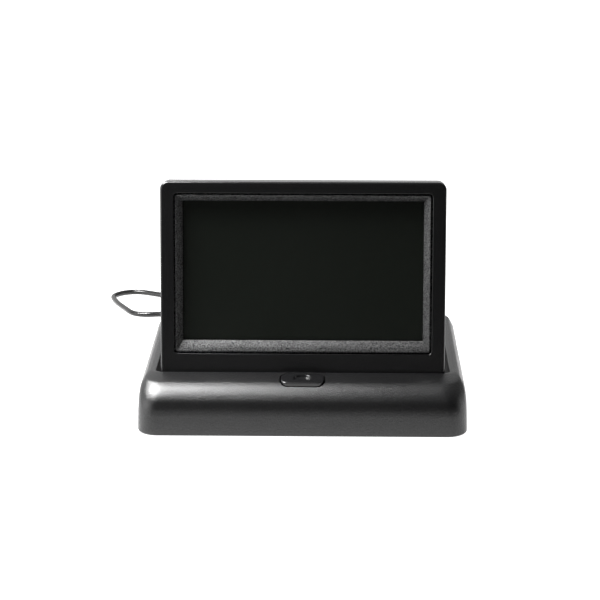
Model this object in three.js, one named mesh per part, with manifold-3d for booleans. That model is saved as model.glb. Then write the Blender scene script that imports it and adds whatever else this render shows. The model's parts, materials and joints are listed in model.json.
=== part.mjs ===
// Fold-down dash monitor: a 4.3 inch screen that swings up out of a shallow base, with its lead.
// Millimetres, +Z up. The origin is the centre of the base's underside; the screen faces -Y.
import * as THREE from 'three';
import { mergeVertices } from 'three/addons/utils/BufferGeometryUtils.js';
import Module from 'manifold-3d';

const wasm = await Module();
wasm.setup();

// ---- Driving dimensions ----
const GAP = 0.3; // clearance between neighbouring pieces

// Base
const BASE_HALF_W = 66.8;
const BASE_HALF_D = 55;
const BASE_TOP = 21.7;
const SKIRT_Z = 0.2; // the housing hangs this far above the surface
const WALL = 2;
const CORNER_R = 8;

// Tray that takes the folded screen
const TRAY_HALF_W = 60;
const TRAY_FRONT = -37.2;
const TRAY_BACK = 50.6;
const TRAY_FLOOR = 8.2;
const TRAY_WALL = 1.8;
const TRAY_R = 3;

// Hinge
const HINGE_Y = -32.3;
const HINGE_Z = 16.5;
const LEAN = THREE.MathUtils.degToRad(8); // lean of the open screen from vertical
const BARREL_R = 3.9;
const PIN_R = 1.5;
const SLEEVE_R = 2.2;

// Screen, in the hinge's own axes: x across, y towards the back, z up the screen
const SCREEN_HALF_W = 57.95;
const SCREEN_LOW = 4.3;
const SCREEN_HIGH = 82.2;
const SCREEN_FACE = -5;
const SCREEN_SPLIT = 2;
const SCREEN_REAR = 7.5;
const SHELL = 1.8;
const APRON = { low: 3.1, thick: 0.9 }; // the front face reaches down in front of the hinge
const SCREEN_CORNERS = { upper: 3.2, lower: 0.6 };
const RING = { x: 52.5, low: 11.9, high: 77.5, r: 1.6 }; // opening in the front frame
const WINDOW = { x: 49, low: 17.1, high: 74.3 };
const WINDOW_DEPTH = 2.6;
const GROOVE = 0.7; // groove between the front frame and the inner bezel
const LCD = { x: 52.6, low: 11.3, high: 78.5 };

// Release key and latch
const KEY = { x: 8.75, front: -47.8, back: -38.9, r: 3, low: 16.2, high: 21.7, slope: 6.3 };
const DIMPLE = { x: 3.6, half: 3.1, r: 3, deep: 0.85 };
const TAB = { x0: 4.7, x1: 9.8, front: -47, back: -40.2, low: 14.4, high: 15.8 };
const KEY_HOLE_LOW = TAB.low - 1.6; // the key and its tabs come down this far when pressed
const PLATE = { x: 8.5, front: -48.3, back: -40.5, low: 11.2, high: 12.8 };
// The key's cam legs slope back at 45 degrees as they go down.
const CAM = { x: 5.7, half: 1, depth: 1.8, low: 11, high: 14.6, lowFront: -43.1 };
const SPRING_SLOT = { x: 1.9, front: -47, back: -41.6 };
const NOSE = { x: 4, front: -41.3, tip: -36.1, high: 14.7 };
const SPRING = { y: -44.4, r: 1.2, wire: 0.3, low: 3.75, high: 15.85, turns: 6 };

// Lead
const LEAD_R = 1.25;
const INNER_LEAD_R = 0.7;
const GLAND = { x: -30, z: 4.9, end: 70 };
const COIL = { x: 20, y: 118, inner: 10.7, outer: 18.3, low: 1, high: 8.6 };
const TIE = { thick: 0.7, width: 3, angle: 200 };
const CONNECTOR = { x: 43, y: 99, z: 4.9, collarR: 4.8 };

// ---- Materials ----
const plastic = new THREE.MeshStandardMaterial({ color: 0x161617, roughness: 0.42 });
const framePlastic = new THREE.MeshStandardMaterial({ color: 0x131314, roughness: 0.5 });
const bezelPlastic = new THREE.MeshStandardMaterial({ color: 0x1c1c1d, roughness: 0.6 });
const glass = new THREE.MeshStandardMaterial({ color: 0x101512, roughness: 0.25 });
const rubber = new THREE.MeshStandardMaterial({ color: 0x0c0c0c, roughness: 0.55 });
const foam = new THREE.MeshStandardMaterial({ color: 0x202020, roughness: 0.95 });
const steel = new THREE.MeshStandardMaterial({ color: 0xb4b6b8, roughness: 0.35, metalness: 1 });
const board = new THREE.MeshStandardMaterial({ color: 0x14512c, roughness: 0.5 });
const chip = new THREE.MeshStandardMaterial({ color: 0x18181a, roughness: 0.45 });
const film = new THREE.MeshStandardMaterial({ color: 0xe6e8e6, roughness: 0.4 });
const amber = new THREE.MeshStandardMaterial({ color: 0xb0701c, roughness: 0.4 });
const nylon = new THREE.MeshStandardMaterial({ color: 0xe8e6dc, roughness: 0.5 });

const assembly = new THREE.Group();
const screenGroup = new THREE.Group();
screenGroup.position.set(0, HINGE_Y, HINGE_Z);
screenGroup.rotation.x = -LEAN;
assembly.add(screenGroup);

function place(name, geometry, material, parent = assembly) {
  const mesh = new THREE.Mesh(geometry, material);
  mesh.name = name;
  parent.add(mesh);
  return mesh;
}

// ---- Solids ----
function solid(geometry) {
  const bare = geometry.clone();
  bare.deleteAttribute('normal');
  bare.deleteAttribute('uv');
  const merged = mergeVertices(bare, 1e-4);
  const mesh = new wasm.Mesh({
    numProp: 3,
    vertProperties: new Float32Array(merged.attributes.position.array),
    triVerts: new Uint32Array(merged.index.array),
  });
  return new wasm.Manifold(mesh);
}

function surface(manifold) {
  const mesh = manifold.getMesh();
  const geometry = new THREE.BufferGeometry();
  geometry.setAttribute('position', new THREE.BufferAttribute(mesh.vertProperties, 3));
  geometry.setIndex(new THREE.BufferAttribute(mesh.triVerts, 1));
  geometry.computeVertexNormals();
  return geometry;
}

function boxGeometry([x0, y0, z0], [x1, y1, z1]) {
  const geometry = new THREE.BoxGeometry(x1 - x0, y1 - y0, z1 - z0);
  return geometry.translate((x0 + x1) / 2, (y0 + y1) / 2, (z0 + z1) / 2);
}

const block = (low, high) => solid(boxGeometry(low, high));

// A cylinder between two values along one axis; across gives its other two coordinates in order.
function rodGeometry(axis, from, to, across, radius, sides = 20) {
  const geometry = new THREE.CylinderGeometry(radius, radius, to - from, sides);
  const middle = (from + to) / 2;
  if (axis === 'x') return geometry.rotateZ(-Math.PI / 2).translate(middle, ...across);
  if (axis === 'y') return geometry.translate(across[0], middle, across[1]);
  return geometry.rotateX(Math.PI / 2).translate(...across, middle);
}

const rod = (...args) => solid(rodGeometry(...args));

// Corner points of a rounded rectangle, the same number whatever its size; far is the radius of the y1 corners.
function roundedOutline(x0, x1, y0, y1, near, steps = 5, far = near) {
  const corners = [[x1 - near, y0 + near, -90, near], [x1 - far, y1 - far, 0, far],
    [x0 + far, y1 - far, 90, far], [x0 + near, y0 + near, 180, near]];
  const points = [];
  for (const [cx, cy, start, r] of corners) {
    for (let i = 0; i <= steps; i++) {
      const angle = THREE.MathUtils.degToRad(start + (90 * i) / steps);
      points.push([cx + r * Math.cos(angle), cy + r * Math.sin(angle)]);
    }
  }
  return points;
}

// A closed skin through a stack of outlines with equal point counts, each at its own height.
function loftGeometry(layers) {
  const count = layers[0].outline.length;
  const positions = [];
  const index = [];
  for (const { outline, z } of layers) outline.forEach(([x, y]) => positions.push(x, y, z));
  for (let layer = 0; layer < layers.length - 1; layer++) {
    for (let i = 0; i < count; i++) {
      const a = layer * count + i;
      const b = layer * count + ((i + 1) % count);
      index.push(a, b, b + count, a, b + count, a + count);
    }
  }
  const top = (layers.length - 1) * count;
  for (let i = 1; i < count - 1; i++) index.push(0, i + 1, i, top, top + i, top + i + 1);
  const geometry = new THREE.BufferGeometry();
  geometry.setAttribute('position', new THREE.Float32BufferAttribute(positions, 3));
  geometry.setIndex(index);
  return geometry;
}

const loft = (layers) => solid(loftGeometry(layers));

function slab(x0, x1, y0, y1, r, z0, z1, steps = 5) {
  const outline = roundedOutline(x0, x1, y0, y1, r, steps);
  return loft([{ outline, z: z0 }, { outline, z: z1 }]);
}

// The same slab standing in the screen's plane: outline in x and z, thickness along y.
function panelSlab(x, low, high, r, front, back, steps = 5) {
  return slab(-x, x, -high, -low, r, front, back, steps).rotate([-90, 0, 0]);
}

// An x-z loft for the screen shells: layers run from the front face backwards, each inset from the outline.
function panelLoft(layers, low = SCREEN_LOW) {
  return loft(layers.map(({ inset, y }) => ({
    outline: roundedOutline(
      inset - SCREEN_HALF_W, SCREEN_HALF_W - inset, inset - SCREEN_HIGH, -low - inset,
      SCREEN_CORNERS.upper - inset * 0.6, 5, SCREEN_CORNERS.lower - inset * 0.3),
    z: y,
  }))).rotate([-90, 0, 0]);
}

function lathe(points, segments = 20) {
  return new THREE.LatheGeometry(points.map(([r, h]) => new THREE.Vector2(r, h)), segments);
}

// Turns a lathe, which stands on +Y, to point along +Z.
const upright = (geometry) => geometry.rotateX(Math.PI / 2);

function tube(curve, radius, steps, sides = 8) {
  const section = new THREE.Shape();
  for (let i = 0; i < sides; i++) {
    const angle = (2 * Math.PI * i) / sides;
    const x = radius * Math.cos(angle);
    const y = radius * Math.sin(angle);
    if (i === 0) section.moveTo(x, y);
    else section.lineTo(x, y);
  }
  return new THREE.ExtrudeGeometry(section, { steps, extrudePath: curve, bevelEnabled: false });
}

const through = (points) => new THREE.CatmullRomCurve3(points.map((p) => new THREE.Vector3(...p)));

class Helix extends THREE.Curve {
  constructor(radius, length, turns) {
    super();
    Object.assign(this, { radius, length, turns });
  }

  getPoint(t, target = new THREE.Vector3()) {
    const angle = 2 * Math.PI * this.turns * t;
    return target.set(this.radius * Math.cos(angle), this.radius * Math.sin(angle), this.length * t);
  }
}

// ---- Base ----
// Insets of the base's skin at each height: sides, front, back, and the plan corner's radius.
const BASE_SKIN = [
  [SKIRT_Z, 0.4, 0.4, 0.4, CORNER_R],
  [1, 0, 0, 0, CORNER_R],
  [8.2, 0.15, 0.3, 0.4, CORNER_R + 0.3],
  [12.2, 0.3, 1, 0.8, CORNER_R + 0.6],
  [14.1, 0.44, 1.8, 0.95, CORNER_R + 0.9],
  [15.85, 0.63, 3.1, 1.15, CORNER_R + 1.1],
  [17.4, 0.92, 4.65, 1.4, CORNER_R + 1.2],
  [18.55, 1.3, 6.1, 1.75, CORNER_R + 1],
  [19.45, 1.85, 7.6, 2.1, CORNER_R],
  [20.15, 2.3, 9.14, 2.35, CORNER_R - 1.3],
  [20.95, 3, 12.8, 2.65, CORNER_R - 3.2],
  [BASE_TOP, 4.6, 17.2, 3.2, CORNER_R - 4.5],
];

function baseLoft(inset, drop) {
  return loft(BASE_SKIN.map(([z, side, front, back, r], i) => ({
    outline: roundedOutline(
      side + inset - BASE_HALF_W, BASE_HALF_W - side - inset,
      front + inset - BASE_HALF_D, BASE_HALF_D - back - inset, Math.max(r - inset, 1.2)),
    z: i === 0 ? SKIRT_Z - drop : z - drop,
  })));
}

const COVER_SCREWS = [[-52, -46], [52, -46], [-52, 44], [52, 44]];
const BOSS_LOW = 3.7;
const BOSS_R = 2.6;
const SCREW_HOLE_R = 1.1;

function buildHousing() {
  const outer = baseLoft(0, 0);
  const tub = slab(
    -TRAY_HALF_W - TRAY_WALL, TRAY_HALF_W + TRAY_WALL, TRAY_FRONT - TRAY_WALL, TRAY_BACK + TRAY_WALL,
    TRAY_R + TRAY_WALL, TRAY_FLOOR - TRAY_WALL, BASE_TOP + 1);
  const tray = slab(
    -TRAY_HALF_W, TRAY_HALF_W, TRAY_FRONT, TRAY_BACK, TRAY_R, TRAY_FLOOR, BASE_TOP + 5);
  let shell = outer.subtract(baseLoft(WALL, 2)).add(tub.intersect(outer));
  for (const [x, y] of COVER_SCREWS) {
    const top = y < 0 ? BASE_TOP - 3 : TRAY_FLOOR - TRAY_WALL + 0.3;
    const bore = y < 0 ? 9 : TRAY_FLOOR - 0.8;
    shell = shell.add(rod('z', BOSS_LOW, top, [x, y], BOSS_R, 16).intersect(outer));
    shell = shell.subtract(rod('z', 0, bore, [x, y], SCREW_HOLE_R, 12));
  }
  const keyHole = slab(
    -KEY.x - 0.35, KEY.x + 0.35, KEY.front - 0.35, KEY.back + 0.35, KEY.r + 0.35, KEY_HOLE_LOW, BASE_TOP + 5);
  const noseSlot = block(
    [-NOSE.x - 0.4, TRAY_FRONT - TRAY_WALL - 1, PLATE.low - 0.4],
    [NOSE.x + 0.4, TRAY_FRONT + 1, NOSE.high + 0.4]);
  const pinHole = rod('x', -62.5, -TRAY_HALF_W + 1, [HINGE_Y, HINGE_Z], PIN_R + GAP, 16);
  const sleeveHole = rod('x', TRAY_HALF_W - 1, 63.2, [HINGE_Y, HINGE_Z], SLEEVE_R + GAP, 16);
  const glandHole = rod('y', 51.5, BASE_HALF_D + 1, [GLAND.x, GLAND.z], 2.6, 16);
  for (const cut of [tray, keyHole, noseSlot, pinHole, sleeveHole]) shell = shell.subtract(cut);
  return surface(shell.subtract(glandHole));
}
place('base_upper_housing', buildHousing(), plastic);

function buildCover() {
  let cover = slab(-63.9, 63.9, -52.1, 52.1, CORNER_R - 3, 1.3, 3.4);
  for (const side of [-1, 1]) {
    const x = side * 7.8;
    cover = cover.add(block([x - 0.6, PLATE.front + 1, 3], [x + 0.6, PLATE.back - 0.5, PLATE.low - GAP]));
  }
  for (const [x, y] of COVER_SCREWS) {
    cover = cover.subtract(rod('z', 0, 5, [x, y], SCREW_HOLE_R, 12));
    cover = cover.subtract(rod('z', 0, 2.6, [x, y], 2.1, 16));
  }
  return surface(cover);
}
place('base_bottom_cover', buildCover(), framePlastic);
place('adhesive_pad', surface(slab(-52, 52, -40, 40, 5, 0, 1)), foam);

// A pan-head screw pointing up along +Z from the underside of its head.
function screwGeometry(headR, headH, shankR, length) {
  const profile = [[0, 0], [headR * 0.8, 0], [headR, headH * 0.4], [headR, headH], [shankR, headH],
    [shankR, length - 0.6], [0, length]];
  return upright(lathe(profile, 16));
}

COVER_SCREWS.forEach(([x, y], i) => {
  const screw = place(`base_screw_${i + 1}`, screwGeometry(1.8, 1, 0.8, 5.4), steel);
  screw.position.set(x, y, 1.5);
});

// ---- Hinge ----
const PIN_TIP = -41;
place('hinge_pin', rodGeometry('x', -62.2, PIN_TIP, [HINGE_Y, HINGE_Z], PIN_R, 16), steel);
place('hinge_sleeve', surface(
  rod('x', 50, 61.7, [HINGE_Y, HINGE_Z], SLEEVE_R, 16)
    .subtract(rod('x', 49, 63, [HINGE_Y, HINGE_Z], 1.3, 12))), steel);

const TORSION = { from: -54.6, length: 8.4, r: 2.15, wire: 0.3, turns: 6 };
const torsion = place('hinge_torsion_spring',
  tube(new Helix(TORSION.r, TORSION.length, TORSION.turns), TORSION.wire, TORSION.turns * 12, 6), steel);
torsion.rotation.y = Math.PI / 2;
torsion.position.set(TORSION.from, HINGE_Y, HINGE_Z);

place('pivot_bush', surface(
  rod('x', -57.1, -55.2, [0, 0], 2.6, 16).subtract(rod('x', -58, -55, [0, 0], PIN_R + GAP, 16))),
nylon, screenGroup);

// ---- Release key and latch ----
// One cam leg between two heights, or with some play the window that it slides in
function camLoft(side, low, high, play) {
  return loft([low, high].map((z) => {
    const front = CAM.lowFront - (z - CAM.low) - play;
    return {
      outline: roundedOutline(side * CAM.x - CAM.half - play, side * CAM.x + CAM.half + play,
        front, front + CAM.depth + 2 * play, 0.2, 1),
      z,
    };
  }));
}

function buildKey() {
  let key = slab(-KEY.x, KEY.x, KEY.front, KEY.back, KEY.r, TAB.low, KEY.high + 3);
  key = key.subtract(block([-TAB.x0, KEY.front - 1, TAB.low - 1], [TAB.x0, KEY.back + 1, KEY.low]));
  const tilt = (y) => KEY.high + Math.tan(THREE.MathUtils.degToRad(KEY.slope)) * (y - KEY.back);
  const above = solid(loftGeometry([-1, 1].map((side) => ({
    outline: [[KEY.back + 2, tilt(KEY.back + 2)], [KEY.back + 2, 40], [KEY.front - 2, 40],
      [KEY.front - 2, tilt(KEY.front - 2)]],
    z: side * 20,
  })))).rotate([90, 0, 90]);
  key = key.subtract(above);
  // Finger dimple, a shallow pill on the sloping top
  const middle = (KEY.front + KEY.back) / 2;
  const dimple = slab(
    -DIMPLE.x, DIMPLE.x, middle - DIMPLE.half, middle + DIMPLE.half, DIMPLE.r, -DIMPLE.deep, 3)
    .translate([0, -middle, 0]).rotate([KEY.slope, 0, 0]).translate([0, middle, tilt(middle)]);
  key = key.subtract(dimple);
  for (const side of [-1, 1]) {
    const [a, b] = side < 0 ? [-TAB.x1, -TAB.x0] : [TAB.x0, TAB.x1];
    key = key.add(block([a, TAB.front, TAB.low], [b, TAB.back, TAB.high]));
    key = key.add(camLoft(side, CAM.low, CAM.high, 0));
  }
  return surface(key);
}
place('release_key', buildKey(), plastic);

function buildLatch() {
  let latch = block([-PLATE.x, PLATE.front, PLATE.low], [PLATE.x, PLATE.back, PLATE.high]);
  latch = latch.add(block([-NOSE.x, NOSE.front, PLATE.low], [NOSE.x, NOSE.tip, NOSE.high]));
  // Spring slot and the two cam windows
  latch = latch.subtract(block(
    [-SPRING_SLOT.x, SPRING_SLOT.front, PLATE.low - 1], [SPRING_SLOT.x, SPRING_SLOT.back, PLATE.high + 0.2]));
  for (const side of [-1, 1]) latch = latch.subtract(camLoft(side, PLATE.low - 1, PLATE.high + 1, GAP));
  return surface(latch);
}
place('latch_slide', buildLatch(), nylon);

const keySpring = place('key_spring',
  tube(new Helix(SPRING.r, SPRING.high - SPRING.low - 2 * SPRING.wire, SPRING.turns), SPRING.wire,
    SPRING.turns * 12, 6), steel);
keySpring.position.set(0, SPRING.y, SPRING.low + SPRING.wire);

// ---- Screen ----
const SCREEN_SCREWS = [[-54.6, 14], [54.6, 14], [-54.6, 72], [54.6, 72]];
const SCREEN_BOSS_R = 1.5;

function buildFrontFrame() {
  const face = panelLoft([
    { inset: 1, y: SCREEN_FACE },
    { inset: 0.3, y: SCREEN_FACE + 0.3 },
    { inset: 0, y: SCREEN_FACE + APRON.thick },
  ], APRON.low);
  let frame = face.add(panelLoft([
    { inset: 0, y: SCREEN_FACE + APRON.thick - 0.1 },
    { inset: 0, y: SCREEN_SPLIT },
  ]));
  frame = frame.subtract(panelSlab(
    SCREEN_HALF_W - SHELL, SCREEN_LOW + SHELL, SCREEN_HIGH - SHELL, 1.6, SCREEN_FACE + 2, SCREEN_SPLIT + 1));
  for (const [x, z] of SCREEN_SCREWS) {
    const wallSide = Math.sign(x) * (SCREEN_HALF_W - 1);
    frame = frame.add(rod('y', SCREEN_FACE + 1.8, SCREEN_SPLIT, [x, z], SCREEN_BOSS_R, 12));
    const [a, b] = [x, wallSide].sort((p, q) => p - q);
    frame = frame.add(block([a, SCREEN_FACE + 1.8, z - 1], [b, SCREEN_SPLIT, z + 1]));
    frame = frame.subtract(rod('y', SCREEN_FACE + 2.6, SCREEN_SPLIT + 1, [x, z], 1, 12));
  }
  return surface(frame.subtract(panelSlab(RING.x, RING.low, RING.high, RING.r, SCREEN_FACE - 1, 0)));
}
place('screen_front_frame', buildFrontFrame(), framePlastic, screenGroup);

function buildInnerBezel() {
  const x = RING.x - GROOVE;
  const low = RING.low + GROOVE;
  const high = RING.high - GROOVE;
  const front = SCREEN_FACE + 0.3;
  const back = SCREEN_FACE + WINDOW_DEPTH + 0.9;
  let bezel = panelSlab(x, low, high, RING.r - 0.5, front, back);
  bezel = bezel.add(panelSlab(x + 1, low - 1, high + 1, 1, back - 1, back));
  const funnel = loft([
    { outline: roundedOutline(-x, x, -high, -low, 0.3), z: front - 0.01 },
    { outline: roundedOutline(-WINDOW.x, WINDOW.x, -WINDOW.high, -WINDOW.low, 0.2),
      z: SCREEN_FACE + WINDOW_DEPTH },
    { outline: roundedOutline(-WINDOW.x, WINDOW.x, -WINDOW.high, -WINDOW.low, 0.2), z: back + 1 },
  ]).rotate([-90, 0, 0]);
  return surface(bezel.subtract(funnel));
}
place('screen_inner_bezel', buildInnerBezel(), bezelPlastic, screenGroup);

place('lcd_glass', surface(panelSlab(
  LCD.x - 0.8, LCD.low + 0.8, LCD.high - 0.8, 0.5, -1.2, -0.2, 2)), glass, screenGroup);
place('backlight_panel', surface(panelSlab(
  LCD.x - 0.8, LCD.low + 0.8, LCD.high - 0.8, 0.5, 0.1, 1.3, 2)), film, screenGroup);
place('lcd_metal_frame', surface(
  panelSlab(LCD.x, LCD.low, LCD.high, 0.6, -1.2, 2, 2)
    .subtract(panelSlab(LCD.x - 0.5, LCD.low + 0.5, LCD.high - 0.5, 0.5, -2, 1.6, 2))), steel, screenGroup);

const BOARD = { x: 42, low: 18, high: 68, front: 2.6, back: 3.6 };
place('driver_board', boxGeometry(
  [-BOARD.x, BOARD.front, BOARD.low], [BOARD.x, BOARD.back, BOARD.high]), board, screenGroup);

// Parts on the board: name, x, z, half width, half height, height off the board
const ON_BOARD = BOARD.back + 0.3;
const CHIPS = [
  ['video_chip', 6, 48, 6, 6, 1.1, chip],
  ['memory_chip', -16, 50, 4, 3, 0.9, chip],
  ['power_inductor', -32, 28, 3, 3, 1.4, chip],
  ['board_connector', 33, 24, 5, 2, 1.4, nylon],
];
for (const [name, x, z, halfX, halfZ, height, material] of CHIPS) {
  place(name, boxGeometry(
    [x - halfX, ON_BOARD, z - halfZ], [x + halfX, ON_BOARD + height, z + halfZ]), material, screenGroup);
}
[[-20, 27], [-14, 27]].forEach(([x, z], i) => {
  place(`board_capacitor_${i + 1}`, rodGeometry('y', ON_BOARD, ON_BOARD + 1.4, [x, z], 2, 16), chip,
    screenGroup);
});
place('lcd_ribbon', boxGeometry([-10, 2.3, 9.5], [10, 2.5, 30]), amber, screenGroup);

function buildBackCover() {
  let cover = panelLoft([
    { inset: 0, y: SCREEN_SPLIT + GAP },
    { inset: 0, y: SCREEN_REAR - 1.4 },
    { inset: 0.5, y: SCREEN_REAR - 0.4 },
    { inset: 1.4, y: SCREEN_REAR },
  ]);
  cover = cover.subtract(panelSlab(
    SCREEN_HALF_W - SHELL, SCREEN_LOW + SHELL, SCREEN_HIGH - SHELL, 1.6, SCREEN_SPLIT - 1,
    SCREEN_REAR - SHELL));
  for (const [x, z] of SCREEN_SCREWS) {
    const wallSide = Math.sign(x) * (SCREEN_HALF_W - 1);
    cover = cover.add(rod('y', SCREEN_SPLIT + GAP, SCREEN_REAR - 1, [x, z], SCREEN_BOSS_R + 0.7, 12));
    const [a, b] = [x, wallSide].sort((p, q) => p - q);
    cover = cover.add(block([a, SCREEN_SPLIT + GAP, z - 1.5], [b, SCREEN_REAR - 1, z + 1.5]));
    cover = cover.subtract(rod('y', 0, SCREEN_REAR + 1, [x, z], 1, 12));
    cover = cover.subtract(rod('y', SCREEN_REAR - 1.6, SCREEN_REAR + 1, [x, z], 1.9, 16));
  }
  // Hinge barrel and the web that joins it to the cover
  const end = SCREEN_HALF_W - 0.3;
  const barrel = rod('x', -end, end, [0, 0], BARREL_R, 28);
  const web = solid(loftGeometry([-end, end].map((z) => ({
    outline: [[2.6, 1.5], [2.6, SCREEN_LOW + 0.4], [SCREEN_REAR - 1.4, SCREEN_LOW + 0.4],
      [SCREEN_REAR - 1.4, SCREEN_LOW], [3.3, -2], [1, -3]].reverse(),
    z,
  })))).rotate([90, 0, 90]);
  cover = cover.add(barrel).add(web);
  const cuts = [
    rod('x', -end - 1, -44.5, [0, 0], 2.9, 20), // bush and torsion spring
    rod('x', -45, PIN_TIP + 1, [0, 0], PIN_R + GAP, 16), // pin tip
    rod('x', 49, end + 1, [0, 0], SLEEVE_R + GAP, 16), // sleeve
    block([45.4, -1.2, -1.5], [49.4, SCREEN_REAR - SHELL, SCREEN_LOW + SHELL + 0.5]), // lead's way in
    block([-NOSE.x - 0.6, 1.3, -5], [NOSE.x + 0.6, 3.6, -2.6]), // latch notch
  ];
  for (const cut of cuts) cover = cover.subtract(cut);
  return surface(cover);
}
place('screen_back_cover', buildBackCover(), framePlastic, screenGroup);

SCREEN_SCREWS.forEach(([x, z], i) => {
  const screw = place(`screen_screw_${i + 1}`, screwGeometry(1.5, 0.9, 0.7, 7.4), steel, screenGroup);
  screw.rotation.x = Math.PI / 2;
  screw.position.set(x, SCREEN_REAR - 0.3, z);
});

// ---- Leads ----
place('cable_gland', surface(solid(
  lathe([[0, 52.4], [2.3, 52.4], [2.3, 55.3], [3.2, 55.3], [3.2, 56.6], [2.6, 57.2], [1.75, GLAND.end],
    [0, GLAND.end]], 20).translate(GLAND.x, 0, GLAND.z))), rubber);

// Inside the base: from the gland, under the tray, up the right arm and into the hollow hinge sleeve
const UNDER_TRAY = 4.95;
const innerLead = through([
  [GLAND.x, 51.9, UNDER_TRAY], [GLAND.x, 46, UNDER_TRAY], [-20, 25, UNDER_TRAY], [10, 0, UNDER_TRAY],
  [40, -20, UNDER_TRAY], [58, -28, UNDER_TRAY], [61.6, -31, 5.2], [62.9, -32.2, 7.2], [62.8, HINGE_Y, 11],
  [62.8, HINGE_Y, 14.2], [62.3, HINGE_Y, 15.9], [60.8, HINGE_Y, HINGE_Z], [58, HINGE_Y, HINGE_Z],
  [51, HINGE_Y, HINGE_Z]]);
place('inner_lead', tube(innerLead, INNER_LEAD_R, 64, 8), rubber);

// On the table: back from the gland, left past the screen's edge, round and back to the coil
const TABLE = LEAD_R + 0.05; // height of the lead's middle where it lies on the table
const LEAD_ROUTE = [
  [GLAND.x, GLAND.end + GAP, GLAND.z], [-30.3, 75, 4.5], [-31, 80, 3.2], [-32, 86, 2], [-34, 93, 1.4],
  [-38, 102, TABLE], [-44, 110, TABLE], [-52, 116.5, TABLE], [-62, 119.6, TABLE], [-71, 120.2, TABLE],
  [-79, 119.2, TABLE], [-85.3, 122, TABLE], [-90.3, 131, TABLE], [-95, 141, TABLE],
  [-97.9, 150.3, TABLE], [-96.9, 154.7, TABLE], [-94.1, 158.3, TABLE], [-90.1, 160.4, TABLE],
  [-85.6, 160.6, TABLE], [-81, 158.9, TABLE], [-72, 154, TABLE], [-58, 147.4, TABLE], [-42, 142, TABLE],
  [-26, 139, TABLE], [-10, 137.3, 1.5], [6, 136, 1.8]];
place('main_cable', tube(through(LEAD_ROUTE), LEAD_R, 64, 8), rubber);

const round = 2;
place('cable_coil', upright(lathe([
  [COIL.inner, COIL.low + round], [COIL.inner + round, COIL.low], [COIL.outer - round, COIL.low],
  [COIL.outer, COIL.low + round], [COIL.outer, COIL.high - round], [COIL.outer - round, COIL.high],
  [COIL.inner + round, COIL.high], [COIL.inner, COIL.high - round], [COIL.inner, COIL.low + round]], 32))
  .translate(COIL.x, COIL.y, 0), rubber);

const tieIn = [COIL.inner - GAP, COIL.outer + GAP, COIL.low - GAP, COIL.high + GAP];
const tie = place('cable_tie', surface(
  block([tieIn[0] - TIE.thick, -TIE.width / 2, 0], [tieIn[1] + TIE.thick, TIE.width / 2, tieIn[3] + TIE.thick])
    .subtract(block([tieIn[0], -TIE.width, tieIn[2]], [tieIn[1], TIE.width, tieIn[3]]))), foam);
tie.rotation.z = THREE.MathUtils.degToRad(TIE.angle);
tie.position.set(COIL.x, COIL.y, 0);

// From the back of the coil round its right side to the connector
const TAIL_ROUTE = [[33.1, 133.6, 6.8], [38.2, 129.2, 6.5], [41.8, 123.5, 6.1], [43.5, 117, 5.7],
  [43.6, 110.5, 5.3], [43.2, 104.5, 5], [CONNECTOR.x, CONNECTOR.y + GAP, CONNECTOR.z]];
place('connector_lead', tube(through(TAIL_ROUTE), LEAD_R, 16, 8), rubber);

// The connector points along -Y from its strain relief; each profile is radius against distance.
function onConnector(geometry) {
  return geometry.rotateX(Math.PI).translate(CONNECTOR.x, CONNECTOR.y, CONNECTOR.z);
}
place('connector_body', onConnector(lathe([
  [0, 0], [1.8, 0], [2.3, 7], [4.3, 8.5], [4.3, 13], [3.5, 13.3], [3.5, 20.5], [0, 20.5]])), rubber);
place('connector_collar', onConnector(lathe([
  [3.8, 13.3], [CONNECTOR.collarR, 13.3], [CONNECTOR.collarR, 24], [3.8, 24], [3.8, 13.3]], 24)), chip);
place('connector_insert', onConnector(lathe([
  [0, 20.8], [3.5, 20.8], [3.5, 22], [0, 22]], 20)), nylon);
[[-1.3, -1.3], [1.3, -1.3], [-1.3, 1.3], [1.3, 1.3]].forEach(([x, z], i) => {
  place(`connector_pin_${i + 1}`, rodGeometry('y', CONNECTOR.y - 25.3, CONNECTOR.y - 22.3,
    [CONNECTOR.x + x, CONNECTOR.z + z], 0.45, 8), steel);
});

export default assembly;
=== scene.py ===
"""Fold-down dash monitor: a small screen standing out of a shallow base, with its lead coiled behind it.
Lengths below are millimetres in the CAD's frame; MM turns them into Blender's metres."""
import json
import math

import bmesh
import bpy
from mathutils import Matrix, Vector


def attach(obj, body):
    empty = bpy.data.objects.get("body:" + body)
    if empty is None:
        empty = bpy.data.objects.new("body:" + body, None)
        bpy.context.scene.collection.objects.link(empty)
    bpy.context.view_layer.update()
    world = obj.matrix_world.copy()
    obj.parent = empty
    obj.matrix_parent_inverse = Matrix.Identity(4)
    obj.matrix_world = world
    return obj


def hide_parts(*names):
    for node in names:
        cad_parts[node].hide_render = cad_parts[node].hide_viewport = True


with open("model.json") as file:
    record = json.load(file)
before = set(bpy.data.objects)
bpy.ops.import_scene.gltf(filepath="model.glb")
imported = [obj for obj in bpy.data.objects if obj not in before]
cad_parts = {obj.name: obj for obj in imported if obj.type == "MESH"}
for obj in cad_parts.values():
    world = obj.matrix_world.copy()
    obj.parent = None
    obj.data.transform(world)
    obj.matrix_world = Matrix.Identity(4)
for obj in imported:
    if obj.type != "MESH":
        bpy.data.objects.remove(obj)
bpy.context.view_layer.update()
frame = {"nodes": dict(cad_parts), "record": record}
NODES = frame["nodes"]
MM = 0.001

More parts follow.
